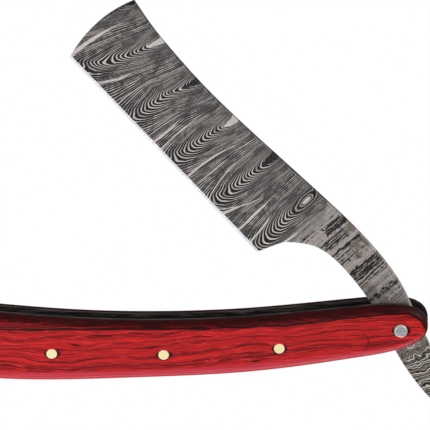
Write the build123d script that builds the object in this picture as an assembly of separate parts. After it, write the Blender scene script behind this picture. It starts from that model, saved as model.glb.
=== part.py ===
from build123d import *
from math import asin, atan2, cos, degrees, hypot, radians, sin
import os

# Straight razor: a folding blade that swings on one pin between two wooden scales.
#
# X runs along the handle: the scales reach to -X and the blade's tail to +X.
# Y lies in the plane of the razor, towards the side where the blade opens.
# Z is square to the scales. The origin is on the pivot axis, in the flat outer face
# of the back scale. Lengths are millimetres and angles are degrees.

# ---- layers, from the back face to the front face ----
scale_t = 3.2           # wooden scale
liner_t = 0.8           # black liner glued inside each scale
washer_t = 0.35         # brass thrust washer on each side of the tang
tang_t = 2.6            # blade blank
side_play = 0.05        # free play between the tang and each washer

# ---- pins ----
pivot_d = 4.0           # steel pivot rod
pivot_play = 0.05       # radial running clearance in the tang and the washers
pivot_proud = 0.9       # rounded end that stands above the front scale
pivot_proud_back = 0.5  # shorter peened end behind the back scale
pivot_round = 0.45      # rounding of the pivot's two ends
brass_d = 3.2           # brass rods that tie the scales together
brass_break = 0.12      # small chamfer on the ends of the brass rods
hole_break = 0.2        # small chamfer at the mouth of each hole in the wood
washer_d = 8.6

# ---- handle outline; a station is (share of the handle's length, height over the pivot) ----
butt_cover = 10.7       # wood beyond the toe of the folded blade
butt_r = 10.8
butt_drop = 5.1         # the butt's centre lies this far below the pivot
nose_len = 8.2          # pivot to the front end
nose_r = 5.6
nose_lift = 0.5         # the nose's centre lies this far above the pivot
top_stations = [(0.083, 6.65), (0.186, 5.05), (0.333, 3.05), (0.558, 2.1), (0.734, 3.2),
                (0.842, 4.6)]
low_stations = [(0.842, -16.85), (0.734, -17.2), (0.558, -16.5), (0.333, -14.75),
                (0.186, -12.1), (0.083, -9.65)]
edge_round = 2.5        # rounding of each scale's outer rim

# ---- brass pins: (share of the handle's length, height over the pivot) ----
pin_stations = {"toe_pin": (0.7336, -7.78), "middle_pin": (0.4983, -8.15),
                "heel_pin": (0.2552, -6.06)}

# ---- blade, along and across its cutting edge from the pivot ----
rest_incline = 48.9     # cutting edge to the handle, as modelled
folded_gap = 0.6        # folded edge to the middle pin
heel_reach = 46.25
edge_len = 85.0
edge_drop = 17.2
spine_stations = [(0.92, 8.3), (0.78, 7.25), (0.63, 6.8), (0.41, 7.35), (0.2, 8.55),
                  (0.0, 9.7)]            # (share of the edge's length, height)
point_lead = 1.35       # the spine's corner stands this far past the toe
point_rise = 9.6        # height of the spine's corner
point_bulge = 3.05      # the point's curve stands this far past the toe
tang_back = [(30.0, 10.35), (18.0, 9.8), (10.2, 8.6), (3.2, 6.6), (-4.0, 4.1),
             (-11.3, 1.8)]
tang_belly = [(-24.3, -9.5), (-15.2, -8.9), (-6.2, -7.2), (2.5, -4.6), (10.9, -2.35),
              (21.9, -0.95), (30.9, -1.1), (37.6, -3.3), (42.2, -7.2)]
tail_centre = (-29.6, -4.5)
tail_r = 4.1
rim_round = 0.6         # rounding of the blank's rims

# ---- grinding ----
grind_r = 180.0         # radius of the hollow
grind_top = 4.5         # the hollow begins this far above the pivot line
grind_corner = 8.0      # rounded corner of the wheel, which leaves the shoulder
edge_t = 0.3            # thickness above the honed bevel
bevel_w = 0.75
bevel_tip_t = 0.08      # what is left at the cutting edge

# ---- end spacer ----
spacer_gap = 1.0        # clear of the folded blade
spacer_grip = 7.4       # spacer in front of the toe pin's centre

# ---- sizes that follow ----
slot_w = tang_t + 2 * (washer_t + side_play)
slot_low = scale_t + liner_t
slot_high = slot_low + slot_w
handle_t = slot_high + liner_t + scale_t
mid_z = handle_t / 2
toe_reach = heel_reach + edge_len
handle_len = hypot(toe_reach, edge_drop) + butt_cover
pivot_r, brass_r, washer_r = pivot_d / 2, brass_d / 2, washer_d / 2
round_r = min(edge_round, 0.8 * scale_t)


def along(stations):
    """Stations as points: a share of the handle's length runs to -X."""
    return [(-share * handle_len, height) for share, height in stations]


pins = {name: along([station])[0] for name, station in pin_stations.items()}

# The folded blade rests just above the middle pin, which sets its incline then.
mid_x, mid_y = pins["middle_pin"]
folded_incline = degrees(asin((edge_drop + brass_r + folded_gap) / hypot(mid_x, mid_y))
                         - atan2(-mid_y, -mid_x))


def handle_face():
    """Outline that the scales and the liners share."""
    nose = (nose_len - nose_r, nose_lift)
    butt = (-(handle_len - butt_r), -butt_drop)
    nose_low, nose_high, butt_high, butt_low = -58, 55, 85, 264
    with BuildLine() as rim:
        front = CenterArc(nose, nose_r, nose_low, nose_high - nose_low)
        end = CenterArc(butt, butt_r, butt_high, butt_low - butt_high)
        Spline([front @ 1, *along(top_stations), end @ 0], tangents=[front % 1, end % 0])
        Spline([end @ 1, *along(low_stations), front @ 0], tangents=[end % 1, front % 0])
    return make_face(rim.line)


def pin_holes(low, high):
    """Rods through every pin place, to cut from the layer between two heights."""
    rods = Pos(0, 0, low) * Cylinder(pivot_r, high - low, align=(Align.CENTER, Align.CENTER, Align.MIN))
    for x, y in pins.values():
        rods += Pos(x, y, low) * Cylinder(brass_r, high - low,
                                          align=(Align.CENTER, Align.CENTER, Align.MIN))
    return rods


def scale(low, outer):
    """One wooden scale above the height low, its rim rounded at the height outer."""
    body = Pos(0, 0, low) * extrude(handle_face(), scale_t)
    rim = body.edges().filter_by_position(Axis.Z, outer - 0.01, outer + 0.01)
    body = fillet(rim, round_r) - pin_holes(low, low + scale_t)
    mouths = body.edges().filter_by(GeomType.CIRCLE).filter_by(
        lambda edge: edge.is_closed and abs(edge.center().Z - outer) < 0.01)
    return chamfer(mouths, hole_break)


def liner(low):
    """Fibre sheet with the scales' outline, above the height low."""
    return Pos(0, 0, low) * extrude(handle_face(), liner_t) - pin_holes(low, low + liner_t)


def end_spacer():
    """Wedge that fills the slot's end: low under the folded blade and full behind its toe."""
    lean = radians(folded_incline)
    ease = edge_drop + spacer_gap
    toe_x = -(hypot(toe_reach, edge_drop) + spacer_gap)
    front_x = pins["toe_pin"][0] + spacer_grip
    depth = 3 * butt_r

    def under_edge(x):
        """Height of a line just below the folded cutting edge."""
        return -x * sin(lean) / cos(lean) - ease / cos(lean)

    room = Polyline((front_x, -depth), (front_x, under_edge(front_x)), (toe_x, under_edge(toe_x)),
                    (toe_x, depth), (-2 * handle_len, depth), (-2 * handle_len, -depth), close=True)
    body = extrude(handle_face(), slot_w) & extrude(make_face(room), slot_w)
    body = Pos(0, 0, slot_low) * body
    return body - pin_holes(slot_low, slot_high)


def washer(low):
    """Thrust washer above the height low, loose on the pivot."""
    ring = Circle(washer_r) - Circle(pivot_r + pivot_play)
    return Pos(0, 0, low) * extrude(ring, washer_t)


def pivot_pin():
    """Steel rod with rounded ends, proud of both scales."""
    length = pivot_proud_back + handle_t + pivot_proud
    rod = Cylinder(pivot_r, length, align=(Align.CENTER, Align.CENTER, Align.MIN))
    return Pos(0, 0, -pivot_proud_back) * fillet(rod.edges().filter_by(GeomType.CIRCLE), pivot_round)


def brass_pin(x, y):
    """Brass rod, flush with both scales."""
    rod = Cylinder(brass_r, handle_t, align=(Align.CENTER, Align.CENTER, Align.MIN))
    return Pos(x, y, 0) * chamfer(rod.edges().filter_by(GeomType.CIRCLE), brass_break)


def blade_face():
    """Outline of the blank, tail, shank, edge and point, in the blade's own plane."""
    heel, toe = (heel_reach, -edge_drop), (toe_reach, -edge_drop)
    crest = (toe_reach + point_bulge, (point_rise - edge_drop) / 2)
    corner = (toe_reach + point_lead, point_rise)
    spine = [(heel_reach + share * edge_len, height) for share, height in spine_stations]
    tail_high, tail_low = 81, 254
    with BuildLine() as rim:
        Line(heel, toe)
        ThreePointArc(toe, crest, corner)
        tail = CenterArc(tail_centre, tail_r, tail_high, tail_low - tail_high)
        Spline([corner, *spine, *tang_back, tail @ 0], tangents=[(-8, -1), tail % 0])
        Spline([tail @ 1, *tang_belly, heel], tangents=[tail % 1, (1, -3)])
    return make_face(rim.line)


def grinding_wheel():
    """Wheel whose rim is the hollow: it turns about a line along the cutting edge."""
    high = Vector(grind_top, tang_t / 2)
    low = Vector(bevel_w - edge_drop, edge_t / 2)
    chord = high - low
    square = Vector(-chord.Y, chord.X).normalized()
    axle = (high + low) / 2 + square * (grind_r ** 2 - (chord.length / 2) ** 2) ** 0.5
    start = heel_reach - 0.25
    stop = toe_reach + 4 * point_bulge
    rim = axle.Y - grind_r
    with BuildSketch(Plane.XZ.offset(-axle.X)) as section:
        with BuildLine():
            Line((start, rim), (stop, rim))
            Line((stop, rim), (stop, axle.Y))
            Line((stop, axle.Y), (start - grind_corner, axle.Y))
            Line((start - grind_corner, axle.Y), (start - grind_corner, rim + grind_corner))
            RadiusArc((start - grind_corner, rim + grind_corner), (start, rim), -grind_corner)
        make_face()
    return revolve(section.sketch, Axis((0, axle.X, axle.Y), (1, 0, 0)))


def bevel_cut():
    """Prism that hones one side of the cutting edge."""
    slope = (edge_t - bevel_tip_t) / 2 / bevel_w
    past = 1.0
    section = Polyline((bevel_w - edge_drop, edge_t / 2),
                       (-edge_drop - past, bevel_tip_t / 2 - slope * past),
                       (-edge_drop - past, tang_t), (bevel_w - edge_drop, tang_t), close=True)
    start = heel_reach - 2
    return Pos(start, 0, 0) * extrude(Plane.YZ * make_face(section), edge_len + 8)


def blade():
    """Blade, shank, tang and tail in one piece, swung to its modelled opening."""
    blank = extrude(blade_face(), tang_t / 2, both=True)
    rims = blank.edges().filter_by(lambda edge: abs(abs(edge.center().Z) - tang_t / 2) < 0.01)
    body = fillet(rims.filter_by(GeomType.LINE, reverse=True), rim_round)
    for cutter in (grinding_wheel(), bevel_cut()):
        body -= cutter
        body -= mirror(cutter, Plane.XY)
    body -= Cylinder(pivot_r + pivot_play, 2 * tang_t)
    lean = radians(rest_incline)
    swung = Plane(origin=(0, 0, mid_z), x_dir=(-cos(lean), sin(lean), 0), z_dir=(0, 0, -1))
    return swung.location * body


def build():
    nodes = {
        "back_scale": scale(0, 0),
        "back_liner": liner(scale_t),
        "end_spacer": end_spacer(),
        "front_liner": liner(slot_high),
        "front_scale": scale(slot_high + liner_t, handle_t),
        "pivot_pin": pivot_pin(),
        "back_washer": washer(slot_low),
        "front_washer": washer(slot_high - washer_t),
        "blade": blade(),
    }
    for name, (x, y) in pins.items():
        nodes[name] = brass_pin(x, y)
    return nodes


os.makedirs("parts", exist_ok=True)
for node, shape in build().items():
    export_step(shape, f"parts/{node}.step")
print(f"handle {handle_len + nose_len:.1f} long, {handle_t:.1f} thick; "
      f"folded edge {folded_incline:.2f} degrees")
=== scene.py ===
"""Straight razor: a pattern-welded blade that folds between two red wooden scales.

Run as a script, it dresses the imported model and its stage. Lengths in the finishes are
millimetres, and everything else is metres in the razor's own frame: the pivot's axis is Z,
the scales run to -X, and the blade opens towards +Y.
"""
import math

import bpy
from bpy.props import FloatProperty, FloatVectorProperty, PointerProperty
from mathutils import Matrix, Vector


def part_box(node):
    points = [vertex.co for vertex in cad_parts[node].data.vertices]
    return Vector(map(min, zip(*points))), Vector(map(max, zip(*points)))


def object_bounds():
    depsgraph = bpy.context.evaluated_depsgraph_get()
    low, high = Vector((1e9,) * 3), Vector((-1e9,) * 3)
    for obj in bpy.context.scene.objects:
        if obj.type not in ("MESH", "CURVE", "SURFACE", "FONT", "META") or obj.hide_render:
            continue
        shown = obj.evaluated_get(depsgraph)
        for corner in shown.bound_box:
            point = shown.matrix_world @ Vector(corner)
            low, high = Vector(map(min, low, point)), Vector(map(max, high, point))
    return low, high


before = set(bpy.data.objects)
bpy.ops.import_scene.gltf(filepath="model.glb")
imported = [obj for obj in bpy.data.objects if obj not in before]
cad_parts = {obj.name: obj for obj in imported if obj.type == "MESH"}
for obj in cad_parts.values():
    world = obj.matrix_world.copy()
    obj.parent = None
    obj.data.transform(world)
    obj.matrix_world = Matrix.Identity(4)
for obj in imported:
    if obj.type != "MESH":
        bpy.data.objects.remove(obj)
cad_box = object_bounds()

bl_info = {
    "name": "Straight razor",
    "version": (1, 0, 0),
    "blender": (4, 5, 0),
    "location": "View3D > Sidebar > Razor",
    "description": "Finishes, stage and light for a folding straight razor",
    "category": "Object",
}

MM = 1000.0                         # millimetres in a metre
FRONT_SCALE = "front_scale"
SCALES = (FRONT_SCALE, "back_scale")
LINERS = ("front_liner", "back_liner")
PIVOT = "pivot_pin"
BRASS_PINS = ("toe_pin", "middle_pin", "heel_pin")
WASHERS = ("front_washer", "back_washer")


def middle(node):
    """Centre of a node's box, in metres."""
    low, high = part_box(node)
    return (low + high) / 2


def half_width(node):
    """Half the width of a node's box along X, in millimetres."""
    low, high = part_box(node)
    return (high.x - low.x) / 2 * MM


# ---------------------------------------------------------------- settings

def colour(name, words, default):
    """Colour setting, in linear light."""
    return FloatVectorProperty(name=name, description=words, default=default, subtype="COLOR",
                               size=3, min=0, max=1)


class BladeSettings(bpy.types.PropertyGroup):
    edge_incline: FloatProperty(
        name="Edge incline", description="Angle between the cutting edge and the handle",
        default=math.radians(48.9), subtype="ANGLE")
    loop_pitch: FloatProperty(
        name="Loop pitch", description="Distance between two loops of the pattern, in millimetres",
        default=18.2, min=5)
    first_loop: FloatProperty(
        name="First loop", description="Pivot to the first loop along the edge, in millimetres",
        default=48.6)
    layers: FloatProperty(
        name="Layers", description="Layers crossed in the 4.2 millimetres beside a loop", default=3.0)
    rise: FloatProperty(
        name="Chevrons", description="Layers for each millimetre up the middle of a loop",
        default=0.72)
    grind_start: FloatProperty(
        name="Grind start", description="Pivot to where the ground blade begins, in millimetres",
        default=40.6)
    eye: FloatProperty(
        name="Eye", description="Height of the eye in the first loop, in millimetres", default=5.6)
    ring_pitch: FloatProperty(
        name="Ring pitch", description="Distance between the rings of the eye, in millimetres",
        default=1.7, min=0.5)
    bevel_line: FloatProperty(
        name="Bevel line", description="Pivot to the top of the honed bevel, in millimetres",
        default=-16.45)
    dark: colour("Dark layer", "Etched carbon steel", (0.012, 0.0115, 0.0115))
    middle: colour("Mid layer", "Grey of the fine layers", (0.085, 0.080, 0.078))
    light: colour("Bright layer", "Nickel steel that the acid leaves bright", (0.60, 0.545, 0.525))
    honed: colour("Honed edge", "Polished bevel", (0.86, 0.86, 0.93))
    shank: colour("Shank", "Pale steel of the shank", (0.50, 0.452, 0.435))
    shank_shade: colour("Shank shade", "Duller grain of the shank", (0.29, 0.262, 0.247))
    score: colour("Score lines", "Fine lines across the shank", (0.07, 0.06, 0.055))
    pit: colour("Pits", "Specks where the acid has bitten", (0.12, 0.11, 0.10))
    tarnish: colour("Tarnish", "Brown stain on the shank and tail", (0.130, 0.102, 0.076))
    wave_dark: colour("Dark wave", "Darkest layer of the tail", (0.012, 0.012, 0.012))
    wave_olive: colour("Olive wave", "Olive layer of the tail", (0.075, 0.066, 0.053))
    wave_grey: colour("Grey wave", "Grey layer of the tail", (0.27, 0.235, 0.20))
    wave_bright: colour("Bright wave", "Brightest layer of the tail", (0.60, 0.55, 0.52))
    # Painted highlight: light added to the sideways faces along the back of the shank.
    spine: colour("Spine sheen", "Light added to the rubbed back of the shank", (0.22, 0.21, 0.21))
    # Painted shade: a dark line along the back of the blade.
    scorch: colour("Spine scorch", "Dark line along the back of the blade", (0.03, 0.029, 0.029))


class WoodSettings(bpy.types.PropertyGroup):
    red: colour("Red", "Dyed wood between the grain lines", (0.47, 0.011, 0.013))
    bright: colour("Bright red", "Lightest of the dyed wood", (0.66, 0.026, 0.024))
    deep: colour("Deep red", "Shaded bands of the wood", (0.22, 0.005, 0.008))
    grain: colour("Grain", "Dark lines of the grain", (0.050, 0.002, 0.004))
    # Painted shade on the top rounding of the scales and round the nose, with grain streaks through it.
    rim: colour("Rim", "Shade that gathers along the top rim", (0.010, 0.0012, 0.0018))
    # Painted highlight: the pink light on the lower rounding of the scales.
    belly: colour("Belly", "Paler wood along the belly", (0.58, 0.052, 0.090))
    stain: colour("Stain", "Dark marks, and the rings at the pins", (0.010, 0.002, 0.003))
    shade_line: FloatProperty(
        name="Shade line", description="Height of the line where the dyed rim ends, in millimetres",
        default=0.2)


class MetalSettings(bpy.types.PropertyGroup):
    brass: colour("Brass", "Face of the pins", (1.0, 0.86, 0.46))
    # Painted highlight: bright ring round the brass pins and washers, also the tint of their scuffs.
    brass_highlight: colour("Brass rim", "Bright ring round each pin", (1.0, 0.90, 0.56))
    steel: colour("Pivot steel", "Peened end of the pivot", (0.50, 0.49, 0.49))
    # Painted highlight: bright ring round the pivot, also the tint of its scuffs.
    pivot_highlight: colour("Pivot rim", "Bright ring round the pivot", (0.66, 0.66, 0.67))
    liner: colour("Liner", "Black fibre", (0.008, 0.008, 0.008))
    rub: colour("Rubbed liner", "Fibre that has been rubbed", (0.055, 0.048, 0.042))
    # Painted highlight along the top lip of the liners.
    lip: colour("Lip", "Scuffed lip of a liner", (0.125, 0.108, 0.10))
    fleck: colour("Flecks", "Grey flecks in the fibre", (0.05, 0.05, 0.048))


class StageSettings(bpy.types.PropertyGroup):
    tilt: FloatProperty(
        name="Tilt", description="Camera's lean from square to the scales, to the opening side",
        default=math.radians(25), subtype="ANGLE")
    span: FloatProperty(
        name="Span", description="Width that the camera takes in", default=0.129, min=0.01,
        unit="LENGTH")
    lens: FloatProperty(name="Lens", description="Focal length in millimetres", default=1500)
    aim: FloatVectorProperty(
        name="Aim", description="Middle of the view, from the pivot", size=2,
        default=(-0.05585, 0.0357), unit="LENGTH")
    key: FloatProperty(name="Key light", description="Power of the large soft light",
                       default=4.8, unit="POWER")
    belly: FloatProperty(name="Belly light", description="Power of the low light on the belly",
                         default=2.6, unit="POWER")
    spine: FloatProperty(name="Spine light", description="Power of the low light on the spine",
                         default=3.0, unit="POWER")
    fill: FloatProperty(name="Fill", description="Strength of the even light round the stage",
                        default=0.20, min=0)
    bounce: FloatProperty(name="Bounce", description="How much light the floor throws back",
                          default=0.30, min=0, max=1)


class RazorSettings(bpy.types.PropertyGroup):
    blade: PointerProperty(type=BladeSettings)
    wood: PointerProperty(type=WoodSettings)
    metal: PointerProperty(type=MetalSettings)
    stage: PointerProperty(type=StageSettings)


def settings():
    return bpy.context.scene.razor


# ---------------------------------------------------------------- wiring of a finish

class Finish:
    """A material under construction, with one short call for each kind of node."""

    def __init__(self, name):
        self.material = bpy.data.materials.new(name)
        self.material.use_nodes = True
        self.tree = self.material.node_tree
        self.tree.nodes.clear()
        self.out = self.tree.nodes.new("ShaderNodeOutputMaterial")
        self.shader = self.tree.nodes.new("ShaderNodeBsdfPrincipled")
        self.tree.links.new(self.shader.outputs["BSDF"], self.out.inputs["Surface"])
        seat = self.tree.nodes.new("ShaderNodeTexCoord")
        self.place = self.vector("SCALE", seat.outputs["Object"], scale=MM)
        self.facing = self.split(seat.outputs["Normal"])

    def squareness(self):
        """How squarely the surface faces up or down: 1 on the flat sides, 0 on the edges."""
        return self.sum("ABSOLUTE", self.facing[2])

    def feed(self, socket, value):
        if isinstance(value, bpy.types.NodeSocket):
            self.tree.links.new(value, socket)
        elif socket.type == "RGBA":
            socket.default_value = (*tuple(value)[:3], 1)
        else:
            socket.default_value = value

    def set(self, **values):
        for name, value in values.items():
            self.feed(self.shader.inputs[name.replace("_", " ")], value)

    def sum(self, operation, *values):
        node = self.tree.nodes.new("ShaderNodeMath")
        node.operation = operation
        for socket, value in zip(node.inputs, values):
            self.feed(socket, value)
        return node.outputs[0]

    def add(self, *values):
        total = values[0]
        for value in values[1:]:
            total = self.sum("ADD", total, value)
        return total

    def times(self, *values):
        total = values[0]
        for value in values[1:]:
            total = self.sum("MULTIPLY", total, value)
        return total

    def less(self, a, b):
        return self.sum("SUBTRACT", a, b)

    def flip(self, value):
        return self.sum("SUBTRACT", 1.0, value)

    def most(self, a, b):
        return self.sum("MAXIMUM", a, b)

    def gap(self, a, b):
        """Distance between two numbers."""
        return self.sum("ABSOLUTE", self.less(a, b))

    def sway(self, noise, width):
        """Shift to either side that noise gives, in a band so wide."""
        return self.times(self.less(noise, 0.5), width)

    def wave(self, value, pitch=1.0):
        """Sine wave with one crest in each pitch."""
        return self.sum("SINE", self.times(value, 2 * math.pi / pitch))

    def bow(self, value, level, height, curve):
        """Parabola with its lowest point of that height at level."""
        return self.add(height, self.times(self.sum("POWER", self.less(value, level), 2.0), curve))

    def step(self, value, low, high, to_low=0.0, to_high=1.0):
        """Smooth step from to_low at low to to_high at high."""
        node = self.tree.nodes.new("ShaderNodeMapRange")
        node.interpolation_type = "SMOOTHSTEP"
        for socket, item in zip(node.inputs, (value, low, high, to_low, to_high)):
            self.feed(socket, item)
        return node.outputs[0]

    def vector(self, operation, a, b=None, scale=None):
        node = self.tree.nodes.new("ShaderNodeVectorMath")
        node.operation = operation
        self.feed(node.inputs[0], a)
        if b is not None:
            self.feed(node.inputs[1], b)
        if scale is not None:
            node.inputs["Scale"].default_value = scale
        return node.outputs["Value" if operation in ("DOT_PRODUCT", "LENGTH") else "Vector"]

    def join(self, x, y, z=0.0):
        node = self.tree.nodes.new("ShaderNodeCombineXYZ")
        for socket, value in zip(node.inputs, (x, y, z)):
            self.feed(socket, value)
        return node.outputs[0]

    def split(self, vector):
        node = self.tree.nodes.new("ShaderNodeSeparateXYZ")
        self.feed(node.inputs[0], vector)
        return node.outputs

    def noise(self, place, size=1.0, detail=2.0, rough=0.5):
        """Noise whose lumps are about size long."""
        node = self.tree.nodes.new("ShaderNodeTexNoise")
        self.feed(node.inputs["Vector"], place)
        node.inputs["Scale"].default_value = 1 / size
        node.inputs["Detail"].default_value = detail
        node.inputs["Roughness"].default_value = rough
        return node.outputs["Fac"]

    def layers(self, count, size=1.0, detail=1.0, rough=0.5):
        """Noise along one number, such as the count of layers crossed."""
        node = self.tree.nodes.new("ShaderNodeTexNoise")
        node.noise_dimensions = "1D"
        self.feed(node.inputs["W"], count)
        node.inputs["Scale"].default_value = 1 / size
        node.inputs["Detail"].default_value = detail
        node.inputs["Roughness"].default_value = rough
        return node.outputs["Fac"]

    def mix(self, share, a, b, way="MIX"):
        node = self.tree.nodes.new("ShaderNodeMix")
        node.data_type, node.blend_type = "RGBA", way
        self.feed(node.inputs["Factor"], share)
        self.feed(node.inputs[6], a)
        self.feed(node.inputs[7], b)
        return node.outputs[2]

    def ramp(self, value, *stops):
        """Colour ramp from (place, colour) stops."""
        node = self.tree.nodes.new("ShaderNodeValToRGB")
        self.feed(node.inputs[0], value)
        points = node.color_ramp.elements
        while len(points) < len(stops):
            points.new(0.5)
        for point, (place, tint) in zip(points, stops):
            point.position, point.color = place, (*tuple(tint)[:3], 1)
        return node.outputs[0]

    def bump(self, height, depth):
        """Bump from a height of 0 to 1 that stands for depth in metres."""
        node = self.tree.nodes.new("ShaderNodeBump")
        node.inputs["Distance"].default_value = depth
        self.feed(node.inputs["Height"], height)
        self.tree.links.new(node.outputs["Normal"], self.shader.inputs["Normal"])

    def dress(self, *nodes):
        for name in nodes:
            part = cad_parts[name]
            part.data.materials.clear()
            part.data.materials.append(self.material)


# ---------------------------------------------------------------- blade

# Lengths here are millimetres, along the cutting edge from the pivot and square to it.
ROW_LEAN = 0.12                     # slope of the first loop to a line square to the edge
LEAN_CHANGE = -0.0062               # change of that slope for each millimetre along the edge
STRAIGHT_LOOPS = 92.0               # middle of the stretch where the loops stand straight
CLOSING = 1.6                       # power that draws the layers together beside a loop
STREAK_FOOT = -16.5                 # height that the streaks start from
POOL_FOOT = 2.6                     # height where a pool is narrowest
EYE_ASPECT = (2.3, 0.85)            # squeeze of the rings of the eye, along and above the edge
GRIND_ARCH = (2.5, 0.17, 1.6)       # foot of the arch that ends the ground blade, size and power
SPINE_SHADING = (92, 84)             # stretch in which the painted shade along the spine deepens, tailwards
SHANK_HIGHLIGHT = (34, 30)             # stretch in which the painted highlight on the shank's back sets in, tailwards
HONED_START = 44.0                  # tailward end of the honed bevel
TAIL_START = -3.0
NEAR_HANDLE = (-16, -7)             # stretch of the tail in which swirls and tarnish set in
ETCH_DEPTH = 0.00003                # metres

# Bright streaks on the blade: where each starts along the edge, how far it leans and bends in
# the first 10 above the edge, the height where it fades out, and its width.
STREAKS = (
    (131.6, 0.3, -0.62, 5.0, 1.30), (119.5, -6.5, 2.4, -4.5, 0.80), (96.4, 0.0, -0.55, 3.0, 0.36),
    (93.9, -0.1, 0.0, -6.0, 0.90), (90.7, 1.3, -0.5, 7.0, 0.52), (78.6, 0.8, -0.85, 7.5, 0.80),
    (74.8, 0.3, 0.0, 4.0, 0.32), (68.9, 4.4, -1.2, 3.0, 0.50), (62.6, -3.5, 0.6, -8.5, 1.00),
    (64.5, -8.0, 2.9, 1.5, 0.45), (55.4, 0.4, 0.45, 0.5, 0.85), (50.1, 1.0, 1.4, -3.5, 0.75),
    (44.5, -1.8, 0.65, 0.5, 0.50), (111.5, -1.6, 0.0, 1.0, 0.26),
)

# Patches of dark bark and of brown tarnish on the shank: where each starts and ends along the
# edge, its lowest and highest point above the pivot, and how strong it is.
BARK = (
    (36.3, 39.2, 2.6, 10.8, 0.85), (32.5, 35.8, -2.0, 7.6, 0.62), (30.2, 30.9, -2.5, 11.5, 1.0),
    (25.2, 30.0, -1.0, 5.4, 0.42), (19.3, 23.1, -3.0, 11.0, 0.80), (19.5, 21.0, 2.8, 7.4, 1.15),
    (16.8, 19.3, -3.0, 11.0, 0.42), (11.0, 12.6, -2.0, 9.5, 0.70), (39.6, 41.5, -4.0, 0.5, 0.55),
)
TARNISH = (
    (24.4, 30.3, 5.0, 11.5, 0.85), (32.6, 35.7, 7.4, 11.5, 0.75), (8.0, 16.8, -4.0, 2.6, 0.70),
    (4.0, 13.5, -5.0, 12.0, 0.45),
)


class BladeSteel(Finish):
    """Finish of the blade: places along and above the edge, and the noise its parts share."""

    def __init__(self, name):
        super().__init__(name)
        self.look = settings().blade
        lean = self.look.edge_incline
        self.along = self.vector("DOT_PRODUCT", self.place, (-math.cos(lean), math.sin(lean), 0))
        self.up = self.vector("DOT_PRODUCT", self.place, (math.sin(lean), math.cos(lean), 0))
        self.depth = self.split(self.place)[2]
        self.drift = self.drawn_out(1 / 8, 1 / 20, 1)
        self.waver = self.drawn_out(1 / 1.6, 1 / 4, 2)
        self.grit = self.noise(self.place, 0.26, 2, 0.65)
        self.stain = self.noise(self.join(self.along, self.up, self.depth), 2.2, 3)

    def drawn_out(self, along, up, detail, rough=0.5):
        """Noise with so many lumps to the millimetre along the edge and above it."""
        place = self.join(self.times(self.along, along), self.times(self.up, up), self.depth)
        return self.noise(place, 1, detail, rough)


def patches(steel, ragged, spots):
    """Strength of the strongest patch at each place, 0 outside them all."""
    found = 0.0
    for start, end, low, high, strength in spots:
        across = steel.gap(steel.along, (start + end) / 2)
        above = steel.gap(steel.up, (low + high) / 2)
        inside = steel.sum("MINIMUM", steel.less((end - start) / 2, across),
                           steel.less((high - low) / 2, above))
        found = steel.most(found, steel.step(steel.add(inside, ragged), -0.25, 0.35, 0.0, strength))
    return found


def bright_streaks(steel, ragged):
    """Mask of the streaks where one bright layer lies flat along the surface."""
    rise = steel.times(steel.less(steel.up, STREAK_FOOT), 0.1)
    found = 0.0
    for foot, lean, bend, reach, width in STREAKS:
        centre = steel.add(steel.times(steel.add(steel.times(rise, bend), lean), rise), foot)
        full = min(reach - 6, -9)
        half = steel.add(steel.step(steel.up, reach, full, 0.0, width / 2), ragged)
        off = steel.gap(steel.along, centre)
        found = steel.most(found, steel.step(steel.less(half, off), -0.04, 0.12))
    return found


def loop_layers(steel):
    """Count of layers crossed, distance to the nearest loop's middle, and place in the row."""
    look, along, up = steel.look, steel.along, steel.up
    # The row of loops leans more towards the point, and stands straight in the middle.
    lean = steel.add(ROW_LEAN, steel.times(steel.less(along, look.first_loop), LEAN_CHANGE))
    straight = steel.step(steel.gap(along, STRAIGHT_LOOPS), 28.0, 12.0, 0.0, 0.85)
    straight = steel.times(straight, steel.step(up, -2.0, -6.0))
    shift = steel.times(steel.add(up, 5), lean, steel.flip(straight))
    row = steel.add(steel.less(along, shift), steel.sway(steel.drift, 1.6),
                    steel.sway(steel.waver, 0.3), -look.first_loop)
    off = steel.sum("PINGPONG", row, look.loop_pitch / 2)
    # Layers climb up the middle of a loop, fall away beside it, and lie flat between two loops.
    reach = steel.step(steel.wave(row, look.loop_pitch), -0.2, 0.2, 9.0, 7.5)
    upright = steel.step(off, 0.2, reach, 1.0, 0.10)
    uneven = steel.sway(steel.layers(steel.add(up, row), 4.0, 0), 1.7)
    climb = steel.times(steel.add(up, uneven, 17), look.rise, upright)
    fall = steel.times(steel.sum("POWER", off, CLOSING), look.layers / 10)
    crossed = steel.add(steel.less(climb, fall), steel.times(along, 0.05),
                        steel.sway(steel.waver, 0.55), steel.sway(steel.grit, 0.12))
    return crossed, off, row


def layer_lines(steel, crossed, off):
    """Tone of the layers: one clear line for each inside the loops, and finer ones between."""
    line = steel.step(steel.wave(crossed), -0.05, 0.70)
    strength = steel.step(steel.layers(crossed, 1.3, 1), 0.30, 0.62, 0.42, 1.0)
    hair = steel.sum("SINE", steel.add(steel.times(steel.up, 1.1), steel.times(steel.along, 12.0),
                                       steel.times(steel.drift, 24), steel.times(steel.waver, 5)))
    loop = steel.step(off, 5.5, 1.0)
    patchy = steel.drawn_out(1 / 2.2, 1 / 6, 2)
    between = steel.times(strength, steel.step(patchy, 0.34, 0.60, 0.55, 1.0))
    inside = steel.times(loop, steel.step(strength, 0.2, 1.0, 0.72, 1.0))
    return steel.add(steel.step(loop, 0, 1, 0.10, 0.0),
                     steel.times(line, steel.most(between, inside), 0.86),
                     steel.times(hair, steel.step(loop, 0, 1, 0.12, 0.0)),
                     steel.times(steel.less(steel.grit, 0.5), steel.step(loop, 0, 1, 0.80, 0.40)))


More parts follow.
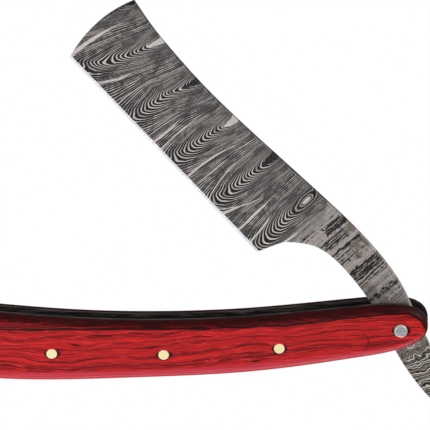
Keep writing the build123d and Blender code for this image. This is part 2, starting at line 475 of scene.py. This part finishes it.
def loop_pools(steel, off, row):
    """Masks of the pools at the mouths of the loops: every other one bright, the rest dark."""
    turn = steel.sum("COSINE", steel.times(row, math.pi / steel.look.loop_pitch))
    throat = steel.add(0.25, steel.times(steel.less(steel.up, POOL_FOOT), 0.20),
                       steel.times(steel.waver, 0.3))
    pool = steel.times(steel.step(steel.less(throat, off), -0.08, 0.14),
                       steel.step(steel.add(steel.up, steel.times(steel.waver, 1.2)), 3.0, 3.7))
    bright = steel.times(pool, steel.step(turn, 0.2, 0.6), steel.step(steel.along, 56, 58))
    return bright, steel.times(pool, steel.step(turn, -0.2, -0.6))


def ringed_eye(steel, row, tone):
    """Tone with the rings that close the first loop, and the distance from their middle."""
    look = steel.look
    across, above = EYE_ASPECT
    eye = steel.vector("LENGTH", steel.join(steel.times(row, across),
                                            steel.times(steel.less(steel.up, look.eye), above)))
    eye = steel.add(eye, steel.sway(steel.waver, 0.8))
    rings = steel.step(steel.wave(eye, look.ring_pitch), -0.2, 0.7)
    rings = steel.times(rings, steel.step(eye, 1.2, 2.2, 0.0, 0.68))
    tone = steel.add(steel.times(tone, steel.step(eye, 4.2, 6.6)),
                     steel.times(rings, steel.step(eye, 6.6, 4.2)))
    return tone, eye


def looped_blade(steel):
    """Colour of the ground blade, and the tone that the colour comes from."""
    look = steel.look
    crossed, off, row = loop_layers(steel)
    bright_pool, dark_pool = loop_pools(steel, off, row)
    tone, eye = ringed_eye(steel, row, layer_lines(steel, crossed, off))
    bright_pool = steel.most(bright_pool, steel.step(eye, 1.6, 1.3))
    tone = steel.times(tone, steel.flip(steel.times(dark_pool, 0.75)))
    tone = steel.add(tone, steel.step(steel.along, 46.0, 41.5, 0.0, 0.22))
    streak = bright_streaks(steel, steel.times(steel.less(steel.waver, 0.55), 0.22))
    bright = steel.most(streak, bright_pool)
    worn = steel.add(0.84, steel.sway(steel.grit, 0.45))
    tone = steel.add(steel.times(tone, steel.flip(bright)), steel.times(worn, bright))
    half_bright = [share * 2.6 for share in look.middle]
    tint = steel.ramp(tone, (0.10, look.dark), (0.38, look.middle), (0.62, half_bright),
                      (0.86, look.light))
    return tint, tone


def barked_shank(steel):
    """Colour of the shank: pale steel with streaks like bark that cross it, and tarnish."""
    look, along, up = steel.look, steel.along, steel.up
    shift = steel.add(along, steel.times(up, -0.05), steel.sway(steel.drift, 1.5),
                      steel.sway(steel.waver, 0.8))
    broken = steel.drawn_out(1.9, 0.7, 3, 0.75)
    mark = steel.add(steel.layers(shift, 0.55, 2, 0.62), steel.sway(broken, 0.9))
    ragged = steel.sway(steel.noise(steel.place, 1.6, 2, 0.6), 2.2)
    level = steel.add(0.335, steel.times(patches(steel, ragged, BARK), 0.36))
    bark = steel.step(steel.less(level, mark), -0.04, 0.06)
    tint = steel.mix(steel.step(steel.grit, 0.35, 0.65), look.shank_shade, look.shank)
    brown = steel.times(patches(steel, ragged, TARNISH), steel.step(steel.stain, 0.36, 0.56))
    tint = steel.mix(brown, tint, look.tarnish)
    scores = steel.step(steel.layers(shift, 0.42, 2, 0.6), 0.48, 0.38)
    tint = steel.mix(steel.times(scores, steel.step(along, 24, 16, 0.42, 0.65)), tint, look.score)
    tint = steel.mix(bark, tint, look.dark)
    return steel.mix(steel.step(steel.grit, 0.56, 0.68, 0, 0.60), tint, look.pit)


def waved_tail(steel):
    """Colour of the tail: bold waves of dark, olive and grey layers, tarnished by the handle."""
    look = steel.look
    roam = steel.noise(steel.join(steel.along, steel.up, steel.depth), 5.5, 2)
    near = steel.step(steel.along, *NEAR_HANDLE)
    swirl = steel.times(steel.less(steel.noise(steel.place, 1.8, 2), 0.5), near, 6.0)
    swing = steel.add(steel.along, steel.times(steel.up, 0.25), steel.sway(roam, 6.0), swirl)
    layer = steel.add(steel.layers(swing, 0.62, 2, 0.55), steel.sway(steel.grit, 0.35))
    tint = steel.ramp(layer, (0.41, look.wave_dark), (0.48, look.wave_olive),
                      (0.56, look.wave_grey), (0.65, look.wave_bright))
    return steel.mix(steel.times(near, steel.step(steel.stain, 0.42, 0.62), 0.45), tint, look.tarnish)


def spine_highlight_and_shade(steel, surface):
    """Painted highlight on the sideways faces of the shank's back, and painted shade along the back of
    the blade.
    """
    look, along = steel.look, steel.along
    back = steel.step(steel.squareness(), 0.75, 0.25)
    shank_stretch = steel.step(along, *SHANK_HIGHLIGHT)
    # Painted highlight on the back of the shank.
    surface = steel.mix(steel.times(back, shank_stretch, 0.9), surface, look.spine, "ADD")
    # Painted shade on the sideways faces of the blade's back.
    shaded_back = steel.times(back, steel.flip(shank_stretch), steel.step(along, *SPINE_SHADING, 0.5, 0.90),
                           steel.step(steel.depth, 5.3, 4.9))
    return steel.mix(shaded_back, surface, look.scorch)


def pattern_steel():
    """Etched pattern-welded steel: loops on the blade, bark on the shank, waves on the tail."""
    steel = BladeSteel("pattern_welded_steel")
    look, along, up = steel.look, steel.along, steel.up
    blade, tone = looped_blade(steel)
    # The ground blade ends in an arch over the shank.
    foot, size, power = GRIND_ARCH
    over = steel.sum("POWER", steel.most(steel.less(up, foot), 0.0), power)
    ground = steel.less(steel.less(along, look.grind_start), steel.times(over, size))
    ground = steel.add(ground, steel.sway(steel.waver, 1.6))
    surface = steel.mix(steel.step(ground, -0.5, 0.9), barked_shank(steel), blade)
    surface = steel.mix(steel.step(along, TAIL_START, TAIL_START - 3), surface, waved_tail(steel))
    surface = spine_highlight_and_shade(steel, surface)
    honed = steel.times(steel.step(up, look.bevel_line + 0.12, look.bevel_line - 0.05),
                        steel.step(along, HONED_START, HONED_START + 1.5))
    surface = steel.mix(honed, surface, look.honed)
    steel.set(Base_Color=surface, Metallic=0.30, IOR=1.5, Specular_IOR_Level=0.25,
              Roughness=steel.step(honed, 0, 1, 0.48, 0.24))
    steel.bump(steel.add(steel.times(tone, 0.7), steel.times(steel.grit, 0.3)), ETCH_DEPTH)
    steel.dress("blade")


# ---------------------------------------------------------------- wood

# Lengths here are millimetres from the pivot, along the handle and across it.
GRAIN_PITCH = 1.25                  # between two strong lines of grain
GRAIN_ARCH = (-105, 100, 3.66)      # foot of the grain's arch, and half its length and height
BELLY_LINE = (-103, -17.1, 0.00085)     # lowest point of the belly's curve, and its rise each way
RIM_CLIMB = (-85, 0.00055)          # where the line of the painted rim shade starts to rise, and how fast it rises
NOSE = (0.6, -1.6)                  # middle of the rounded nose
SCALE_SHIFT = 37.0                  # along the board, from one scale's grain to the other's
NOSE_BORDER = (7.2, 12.0)           # from there to the painted rim shade, at the top and at the bottom
PIN_PATCH = (1.10, 0.75)            # width of the dark patch round a pin, and of its darkest part
GRAIN_DEPTH = 0.00006               # metres

# Small dark marks on the front scale: where each is, half its length and its width, and its slope.
MARKS = (
    (-43.6, -10.1, 1.5, 0.36, 0.10), (4.2, -1.3, 0.28, 0.16, 0.6), (3.6, -3.4, 0.36, 0.15, 0.4),
    (1.2, -3.9, 0.22, 0.15, 0.0), (4.6, 0.4, 0.22, 0.12, 0.5), (-57.9, -9.6, 0.8, 0.2, 0.1),
)
CRACK = (-13.0, -3.9, 3.3)          # centre and radius of the short curved crack by the pivot


class RedWood(Finish):
    """Finish of a scale: the rise across the grain, and the noise that its parts share."""

    def __init__(self, name, seed):
        super().__init__(name)
        self.look = settings().wood
        self.x, self.y, self.z = self.split(self.place)
        self.far = self.add(self.x, seed)
        self.side = self.facing[1]
        self.bend = self.drawn_out(self.y, 1 / 9, 1 / 3, 2)
        # Grain climbs gently along the handle and arches over at the pivot.
        foot, half_length, half_height = GRAIN_ARCH
        turn = self.times(self.less(self.x, foot), math.pi / half_length)
        arch = self.times(self.sum("COSINE", turn), half_height)
        sweep = self.drawn_out(self.y, 1 / 30, 1 / 15, 1)
        self.rise = self.add(self.y, arch, self.sway(sweep, 7.0), self.sway(self.bend, 1.7),
                             self.times(self.z, 0.35))
        self.fibre = self.drawn_out(self.rise, 1 / 5, 2.6, 3, 0.65)
        self.dash = self.drawn_out(self.rise, 1 / 6, 1.1, 2)

    def drawn_out(self, height, along, over, detail, rough=0.5):
        """Noise with so many lumps to the millimetre along the handle and over the height."""
        place = self.join(self.times(self.far, along), self.times(height, over), self.z)
        return self.noise(place, 1, detail, rough)


def red_grain(wood):
    """Colour of the wood, crossed by dark lines of grain, and the mask of the strong ones."""
    look, rise, fibre, dash = wood.look, wood.rise, wood.fibre, wood.dash
    # The strong lines merge and part, because their pace changes up the scale.
    pace = wood.add(wood.times(rise, 1 / GRAIN_PITCH), wood.times(wood.layers(rise, 3.0, 1), 2.2))
    major = wood.step(wood.wave(pace), 0.72, 0.96)
    minor = wood.step(wood.layers(wood.add(rise, 40), 0.42, 1), 0.40, 0.32)
    band = wood.layers(wood.add(rise, 90), 2.4, 1)
    tint = wood.mix(wood.step(band, 0.36, 0.60), look.deep, look.red)
    tint = wood.mix(wood.step(fibre, 0.44, 0.70), tint, look.bright)
    tint = wood.mix(wood.step(fibre, 0.46, 0.28, 0, 0.6), tint, look.deep)
    tint = wood.mix(wood.times(major, wood.step(dash, 0.40, 0.56, 0.12, 0.92)), tint, look.grain)
    tint = wood.mix(wood.times(minor, wood.step(dash, 0.56, 0.40, 0.10, 0.62)), tint, look.grain)
    return tint, major


def belly_highlight(wood, tint):
    """Painted highlight along the belly: a paler, pinker red in long stripes."""
    look, x, y, bend = wood.look, wood.x, wood.y, wood.bend
    under = wood.add(wood.bow(x, *BELLY_LINE), wood.times(bend, 1.2))
    # Faces turned downwards, and a band along the bottom, get the painted highlight.
    belly = wood.most(wood.step(wood.side, -0.06, -0.34), wood.step(wood.less(y, under), 3.1, 2.2))
    height = wood.add(y, wood.times(wood.z, 1.3), wood.times(x, -0.03), bend)
    pale = wood.mix(wood.step(wood.layers(height, 0.55, 1), 0.40, 0.58), look.red, look.belly)
    return wood.mix(wood.times(belly, 0.85), tint, pale)


def shade_border(wood):
    """Distance past the border of the painted shade, which runs along the rim and round the nose."""
    x, y, bend = wood.x, wood.y, wood.bend
    start, rise = RIM_CLIMB
    line = wood.add(wood.bow(wood.most(x, start), start, wood.look.shade_line, rise),
                    wood.step(x, -36, -8, 0, 1.2), wood.sway(bend, 1.6))
    nose = wood.vector("LENGTH", wood.join(wood.less(x, NOSE[0]), wood.less(y, NOSE[1])))
    nose = wood.less(wood.add(nose, wood.times(bend, 0.5)), wood.step(y, 1.0, -6.0, *NOSE_BORDER))
    bent = wood.step(x, -4.0, 1.0)
    border = wood.add(wood.times(wood.less(y, line), wood.flip(bent)), wood.times(nose, bent))
    # Faces near the nose that turn towards the top get the painted shade as well.
    around = wood.step(x, -1.0, -8.0, -1.0, wood.less(wood.side, 0.24))
    return wood.most(border, wood.times(around, 3.0))


def shaded_rim(wood, tint):
    """Painted shade along the rim as far as one strong line of grain, with grain streaks through it, and
    its mask.
    """
    look, x, side = wood.look, wood.x, wood.side
    border = shade_border(wood)
    # Edge-on faces at the nose get the painted shade too.
    edge_on = wood.times(wood.step(wood.squareness(), 0.80, 0.55), wood.step(x, 0.5, 3.5))
    shaded = wood.most(wood.step(border, -0.05, 0.25), edge_on)
    height = wood.add(wood.y, wood.times(wood.bend, 1.5), wood.times(wood.z, 0.8))
    streaky = wood.step(wood.layers(height, 0.62, 2, 0.6), 0.44, 0.60)
    grain_in_shade = wood.times(streaky, wood.step(side, 0.75, 0.25, 0.10, 0.85), wood.step(x, 0, -45, 0.5, 1.0))
    streak = wood.mix(wood.step(x, -70, -98, 0, 0.6), look.deep, look.red)
    tint = wood.mix(wood.times(shaded, 0.94), tint, wood.mix(grain_in_shade, look.rim, streak))
    line = wood.times(wood.step(wood.gap(border, 0.12), 0.34, 0.14),
                      wood.step(wood.dash, 0.34, 0.46, 0.55, 1.0))
    return wood.mix(wood.times(line, 0.92), tint, look.rim), shaded


def pin_patches(wood):
    """Dark patches at both sides of every pin."""
    ragged = wood.sway(wood.bend, 1.2)
    wide, dark = PIN_PATCH
    stain = 0.0
    for pin in BRASS_PINS + (PIVOT,):
        centre, radius = middle(pin) * MM, half_width(pin)
        reach = wood.vector("LENGTH", wood.join(wood.less(wood.x, centre.x + 0.15),
                                                wood.times(wood.less(wood.y, centre.y), 1.9)))
        ring = wood.step(wood.add(reach, ragged), radius + wide, radius + dark)
        stain = wood.most(stain, ring)
    return stain


def small_marks(wood):
    """Dents and the curved crack that the front scale has picked up."""
    x, y = wood.x, wood.y
    ragged = wood.sway(wood.bend, 0.8)
    found = 0.0
    for across, above, long, wide, slope in MARKS:
        off = wood.less(x, across)
        drop = wood.less(wood.less(y, above), wood.times(off, slope))
        reach = wood.join(wood.times(off, 1 / long), wood.times(drop, 1 / wide))
        reach = wood.add(wood.vector("LENGTH", reach), ragged)
        found = wood.most(found, wood.step(reach, 1.2, 0.7))
    across, above, radius = CRACK
    reach = wood.vector("LENGTH", wood.join(wood.less(x, across), wood.less(y, above)))
    off = wood.gap(wood.add(reach, wood.times(ragged, 0.6)), radius)
    crack = wood.times(wood.step(off, 0.26, 0.10), wood.step(x, -11.6, -10.9), 0.75)
    return wood.most(found, crack)


def red_wood(node, seed):
    """Dyed and lacquered wood with dark grain that runs along the handle."""
    wood = RedWood(f"red_wood_{node}", seed)
    tint, major = red_grain(wood)
    tint, shaded = shaded_rim(wood, belly_highlight(wood, tint))
    stain = pin_patches(wood)
    if node == FRONT_SCALE:
        stain = wood.most(stain, small_marks(wood))
    tint = wood.mix(wood.times(stain, 0.9), tint, wood.look.stain)
    gloss = wood.add(wood.step(wood.fibre, 0.3, 0.7, 0.46, 0.34), wood.times(shaded, 0.12))
    wood.set(Base_Color=tint, Roughness=gloss, Specular_IOR_Level=0.11,
             Coat_Weight=0.06, Coat_Roughness=0.35, Coat_IOR=1.45)
    wood.bump(wood.less(wood.add(0.6, wood.times(wood.fibre, 0.4)), wood.times(major, 0.6)), GRAIN_DEPTH)
    wood.dress(node)


# ---------------------------------------------------------------- fibre and metal

LINER_LIP = (-80, 2.1, 0.00098)     # lowest point of the liners' lip, and its rise each way
FIBRE_DEPTH = 0.00005               # metres
METAL_DEPTH = 0.00006


def black_fibre():
    """Black fibre of the liners and the spacer, rubbed along its length, with a painted highlight along
    the lip.
    """
    look = settings().metal
    fibre = Finish("black_fibre")
    x, y, z = fibre.split(fibre.place)
    rub = fibre.join(fibre.times(x, 1 / 9), fibre.times(y, 1 / 0.9), fibre.times(z, 1.5))
    rub = fibre.noise(rub, 1, 3, 0.6)
    speck = fibre.noise(fibre.place, 0.35, 2, 0.6)
    # Painted highlight: the lip of each liner is painted grey, broken up by the rubbed fibre.
    lip = fibre.step(fibre.less(y, fibre.bow(x, *LINER_LIP)), -1.9, -0.6)
    scuff_and_highlight = fibre.times(lip, fibre.step(rub, 0.42, 0.62, 0.05, 0.8))
    tint = fibre.mix(fibre.step(rub, 0.50, 0.78), look.liner, look.rub)
    tint = fibre.mix(scuff_and_highlight, tint, look.lip)
    tint = fibre.mix(fibre.step(speck, 0.62, 0.75, 0, 0.4), tint, look.fleck)
    fibre.set(Base_Color=tint, Roughness=fibre.step(rub, 0.3, 0.7, 0.50, 0.36), Specular_IOR_Level=0.4)
    fibre.bump(fibre.add(fibre.times(rub, 0.5), fibre.times(speck, 0.5)), FIBRE_DEPTH)
    fibre.dress(*LINERS, "end_spacer")


def pin_metal(name, nodes, face, ring, rough, mottle):
    """Turned and filed end of a rod, with a painted highlight ring round it."""
    metal = Finish(name)
    x, y, z = metal.split(metal.place)
    reach = None
    for node in nodes:
        centre = middle(node) * MM
        spread = metal.vector("LENGTH", metal.join(metal.less(x, centre.x), metal.less(y, centre.y)))
        reach = spread if reach is None else metal.sum("MINIMUM", reach, spread)
    radius = half_width(nodes[0])
    worn = metal.noise(metal.place, 0.7, 3, 0.65)
    scuff_and_highlight = metal.noise(metal.join(metal.times(x, 2.5), metal.times(y, 0.5), z), 1, 3, 0.65)
    dull = [share * (1 - mottle) for share in face]
    tint = metal.mix(metal.step(worn, 0.35, 0.70), dull, face)
    tint = metal.mix(metal.step(scuff_and_highlight, 0.58, 0.75, 0, 0.4), tint, ring)
    # Painted highlight ring towards the edge of each end.
    tint = metal.mix(metal.step(reach, radius * 0.66, radius * 0.96, 0, 0.8), tint, ring)
    metal.set(Base_Color=tint, Metallic=0.12, Specular_IOR_Level=0.4,
              Roughness=metal.step(worn, 0.3, 0.7, rough + 0.08, rough - 0.05))
    metal.bump(metal.add(metal.times(worn, 0.6), metal.times(scuff_and_highlight, 0.4)), METAL_DEPTH)
    metal.dress(*nodes)


# ---------------------------------------------------------------- stage

FLOOR_WIDTH = 6.0
WHITE = (1, 1, 1, 1)

# Round soft lights, by the setting that holds their power: name, direction from the razor,
# distance and width.
LIGHTS = {
    "key": ("key", (-0.60, -0.15, 0.80), 0.8, 0.60),
    "belly": ("belly_light", (0.10, -0.92, 0.32), 0.7, 0.40),
    "spine": ("spine_light", (0.78, 0.60, 0.22), 0.7, 0.30),
}


def soft_light(name, toward, target, distance, size, power):
    """Round soft light that shines on the target from the given direction."""
    lamp = bpy.data.lights.new(name, "AREA")
    lamp.shape, lamp.size, lamp.energy = "DISK", size, power
    light = bpy.data.objects.new(name, lamp)
    bpy.context.scene.collection.objects.link(light)
    away = Vector(toward).normalized()
    light.location = target + away * distance
    light.rotation_euler = away.to_track_quat("Z", "Y").to_euler()


def bright_to_camera(tree, shader, out):
    """Show plain white where the stage is seen directly, so that no shadow lands on it."""
    path = tree.nodes.new("ShaderNodeLightPath")
    surface = out.type == "OUTPUT_MATERIAL"
    white = tree.nodes.new("ShaderNodeEmission" if surface else "ShaderNodeBackground")
    white.inputs["Color"].default_value = WHITE
    blend = tree.nodes.new("ShaderNodeMixShader")
    tree.links.new(path.outputs["Is Camera Ray"], blend.inputs[0])
    tree.links.new(shader.outputs[0], blend.inputs[1])
    tree.links.new(white.outputs[0], blend.inputs[2])
    tree.links.new(blend.outputs[0], out.inputs["Surface"])


def pale_floor(height, bounce):
    """Wide pale floor, level with the lowest point of the razor."""
    half = FLOOR_WIDTH / 2
    mesh = bpy.data.meshes.new("floor")
    corners = [(x * half, y * half, height) for x, y in ((-1, -1), (1, -1), (1, 1), (-1, 1))]
    mesh.from_pydata(corners, [], [(0, 1, 2, 3)])
    floor = bpy.data.objects.new("floor", mesh)
    bpy.context.scene.collection.objects.link(floor)
    paint = Finish("floor_paint")
    paint.set(Base_Color=(bounce, bounce, bounce), Roughness=0.9, Specular_IOR_Level=0.1)
    bright_to_camera(paint.tree, paint.shader, paint.out)
    mesh.materials.append(paint.material)


def even_light(strength):
    """Even fill from all round."""
    world = bpy.data.worlds.new("studio")
    bpy.context.scene.world = world
    world.use_nodes = True
    tree = world.node_tree
    backdrop = tree.nodes["Background"]
    backdrop.inputs["Color"].default_value = WHITE
    backdrop.inputs["Strength"].default_value = strength
    bright_to_camera(tree, backdrop, tree.nodes["World Output"])


# ---------------------------------------------------------------- operators and panel

class RAZOR_OT_blade(bpy.types.Operator):
    """Give the blade its etched pattern-welded steel"""
    bl_idname = "razor.blade"
    bl_label = "Blade"

    def execute(self, context):
        pattern_steel()
        return {"FINISHED"}


class RAZOR_OT_scales(bpy.types.Operator):
    """Give both scales their lacquered red wood"""
    bl_idname = "razor.scales"
    bl_label = "Scales"

    def execute(self, context):
        for count, node in enumerate(SCALES):
            red_wood(node, SCALE_SHIFT * count)
        return {"FINISHED"}


class RAZOR_OT_liners(bpy.types.Operator):
    """Give the liners and the end spacer their black fibre"""
    bl_idname = "razor.liners"
    bl_label = "Liners and spacer"

    def execute(self, context):
        black_fibre()
        return {"FINISHED"}


class RAZOR_OT_pins(bpy.types.Operator):
    """Give the pins and washers their metal"""
    bl_idname = "razor.pins"
    bl_label = "Pins and washers"

    def execute(self, context):
        look = settings().metal
        pin_metal("pin_brass", BRASS_PINS, look.brass, look.brass_highlight, 0.30, 0.10)
        pin_metal("washer_brass", WASHERS, look.brass, look.brass_highlight, 0.38, 0.25)
        pin_metal("pivot_steel", (PIVOT,), look.steel, look.pivot_highlight, 0.34, 0.50)
        return {"FINISHED"}


class RAZOR_OT_stage(bpy.types.Operator):
    """Set up the floor, the lights and the camera"""
    bl_idname = "razor.stage"
    bl_label = "Stage"

    def execute(self, context):
        stage = settings().stage
        scene = context.scene
        target = Vector((stage.aim[0], stage.aim[1], middle("blade").z))
        pale_floor(cad_box[0][2], stage.bounce)
        even_light(stage.fill)
        for power, (name, toward, distance, size) in LIGHTS.items():
            soft_light(name, toward, target, distance, size, getattr(stage, power))
        toward = Vector((0, math.sin(stage.tilt), math.cos(stage.tilt)))
        up = Vector((0, math.cos(stage.tilt), -math.sin(stage.tilt)))
        camera = bpy.data.objects.new("camera", bpy.data.cameras.new("camera"))
        scene.collection.objects.link(camera)
        camera.data.lens = stage.lens
        distance = stage.span * stage.lens / camera.data.sensor_width
        turn = Matrix((up.cross(toward), up, toward)).transposed()
        camera.matrix_world = Matrix.Translation(target + toward * distance) @ turn.to_4x4()
        camera.data.clip_start, camera.data.clip_end = 0.01, 20
        scene.camera = camera
        scene.view_settings.view_transform = "Standard"
        return {"FINISHED"}


class RAZOR_PT_panel(bpy.types.Panel):
    bl_idname = "RAZOR_PT_panel"
    bl_label = "Straight razor"
    bl_space_type = "VIEW_3D"
    bl_region_type = "UI"
    bl_category = "Razor"

    def draw(self, context):
        for group, maker in (("stage", RAZOR_OT_stage), ("blade", RAZOR_OT_blade),
                             ("wood", RAZOR_OT_scales), ("metal", RAZOR_OT_pins)):
            box = self.layout.box()
            values = getattr(context.scene.razor, group)
            for name in values.__annotations__:
                box.prop(values, name)
            box.operator(maker.bl_idname)
        self.layout.operator(RAZOR_OT_liners.bl_idname)


CLASSES = (BladeSettings, WoodSettings, MetalSettings, StageSettings, RazorSettings,
           RAZOR_OT_blade, RAZOR_OT_scales, RAZOR_OT_liners, RAZOR_OT_pins, RAZOR_OT_stage,
           RAZOR_PT_panel)


def register():
    for item in CLASSES:
        bpy.utils.register_class(item)
    bpy.types.Scene.razor = PointerProperty(type=RazorSettings)


def unregister():
    del bpy.types.Scene.razor
    for item in reversed(CLASSES):
        bpy.utils.unregister_class(item)


def main():
    register()
    for make in (bpy.ops.razor.stage, bpy.ops.razor.blade, bpy.ops.razor.scales,
                 bpy.ops.razor.liners, bpy.ops.razor.pins):
        make()


if __name__ == "__main__":
    main()
